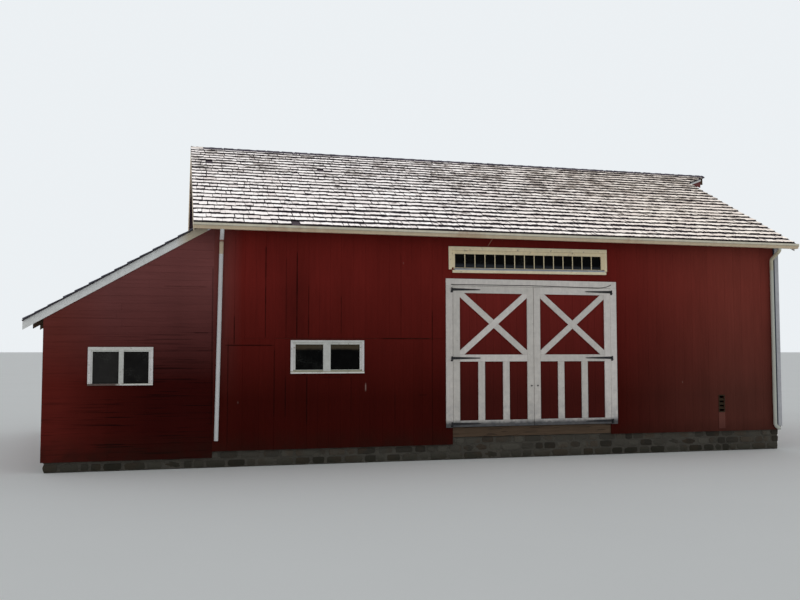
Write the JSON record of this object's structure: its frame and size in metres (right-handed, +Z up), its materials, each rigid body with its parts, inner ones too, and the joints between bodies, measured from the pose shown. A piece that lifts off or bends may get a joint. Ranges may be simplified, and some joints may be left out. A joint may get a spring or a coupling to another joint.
{
  "type": "timber-framed barn with a lean-to",
  "caption": "Red board-clad timber barn with a shake gable roof, a side lean-to, a hay hood, braced double doors on strap hinges, small windows, a gutter and downspouts.",
  "frame": {"origin": "underside of the front foundation, below the middle of the doorway, on the centre line of the front posts", "axes": "+X to the right along the front seen from outside, +Y into the barn, +Z up"},
  "size_m": [17.7704, 10.0797, 7.4],
  "materials": {
    "stone": "rough fieldstone",
    "old_timber": "sawn, aged brown",
    "red_boards": "faded barn-red paint",
    "weathered_shakes": "split shakes weathered silver grey",
    "white_paint": "worn off-white paint",
    "cream_metal": "cream enamel with some rust",
    "black_iron": "black forged iron",
    "dark_glass": "dusty pane"
  },
  "bodies": {
    "barn": {"front_foundation": "stone", "back_foundation": "stone", "cross_foundations": "stone", "floor_dwarf_walls": "stone", "long_sills": "old_timber", "gable_sills": "old_timber", "posts": "old_timber", "wall_plates": "old_timber", "tie_beams": "old_timber", "knee_braces": "old_timber", "wall_girts": "old_timber", "rafters": "old_timber", "ridge_board": "old_timber", "floor_joists": "old_timber", "barn_floor": "old_timber", "front_wall_left": "red_boards", "front_wall_over_door": "red_boards", "front_wall_right": "red_boards", "back_wall": "red_boards", "left_gable_wall": "red_boards", "right_gable_wall": "red_boards", "lean_to_front_wall": "red_boards", "lean_to_side_wall": "red_boards", "lean_to_back_wall": "red_boards", "main_roof_front": "weathered_shakes", "main_roof_back": "weathered_shakes", "ridge_cap": "weathered_shakes", "lean_to_roof": "weathered_shakes", "hay_hood_roof": "weathered_shakes", "hay_hood_sides": "red_boards", "front_fascia": "white_paint", "rake_boards": "white_paint", "corner_board": "white_paint", "door_casing": "white_paint", "front_gutter": "cream_metal", "left_downspout": "cream_metal", "right_downspout": "cream_metal", "transom_frame": "white_paint", "window_frames": "white_paint", "window_glass": "dark_glass", "wall_vent": "red_boards", "hinge_pintles": "black_iron"},
    "left_door": {"left_door_boards": "red_boards", "left_door_frame": "white_paint", "left_door_hinges": "black_iron"},
    "right_door": {"right_door_boards": "red_boards", "right_door_frame": "white_paint", "right_door_hinges": "black_iron"}
  },
  "joints": [
    {"name": "left_door_swing", "type": "hinge", "parent": "barn", "child": "left_door", "pos_m": [-1.857, -0.171, 2.1625], "axis": [0, 0, -1], "range_deg": [0, 170]},
    {"name": "right_door_swing", "type": "hinge", "parent": "barn", "child": "right_door", "pos_m": [1.857, -0.171, 2.1625], "axis": [0, 0, 1], "range_deg": [0, 170]}
  ]
}
